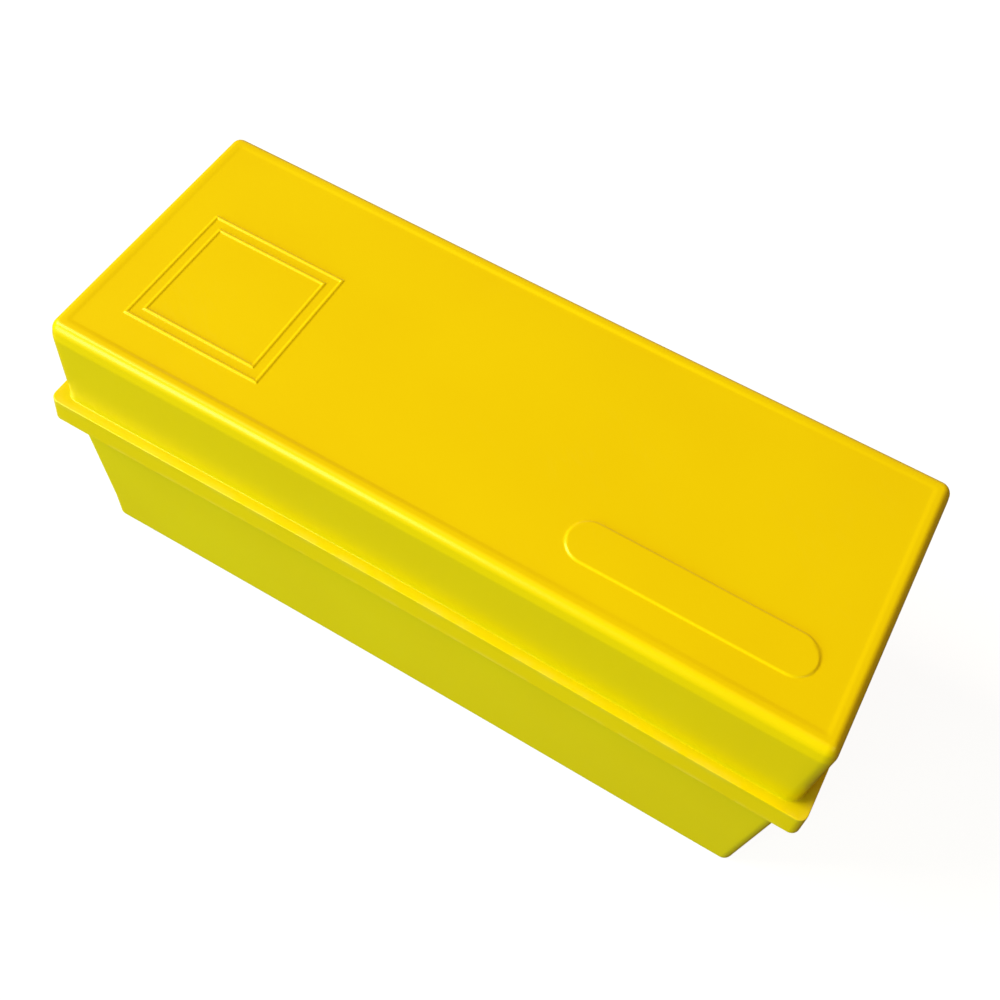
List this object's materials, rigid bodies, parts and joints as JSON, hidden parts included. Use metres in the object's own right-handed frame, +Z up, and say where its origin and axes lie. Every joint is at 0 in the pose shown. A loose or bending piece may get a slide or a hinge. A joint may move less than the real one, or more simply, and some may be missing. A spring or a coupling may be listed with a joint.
{
  "type": "negative storage case",
  "caption": "Oblong two-piece moulded case for film negatives: an open tapered base and a lift-off lid with a stepped skirt.",
  "frame": {"origin": "on the standing surface, under the middle of the base", "axes": "+X along the case's long side, +Y towards its back, +Z up"},
  "size_m": [0.1852, 0.0744, 0.08],
  "materials": {
    "yellow_plastic": "satin-gloss moulded plastic, bright yellow"
  },
  "bodies": {
    "base": {"base": "yellow_plastic"},
    "lid": {"lid": "yellow_plastic"}
  },
  "joints": [
    {"name": "lid_lift", "type": "slide", "parent": "base", "child": "lid", "axis": [0, 0, 1], "range_m": [0, 0.1]}
  ]
}
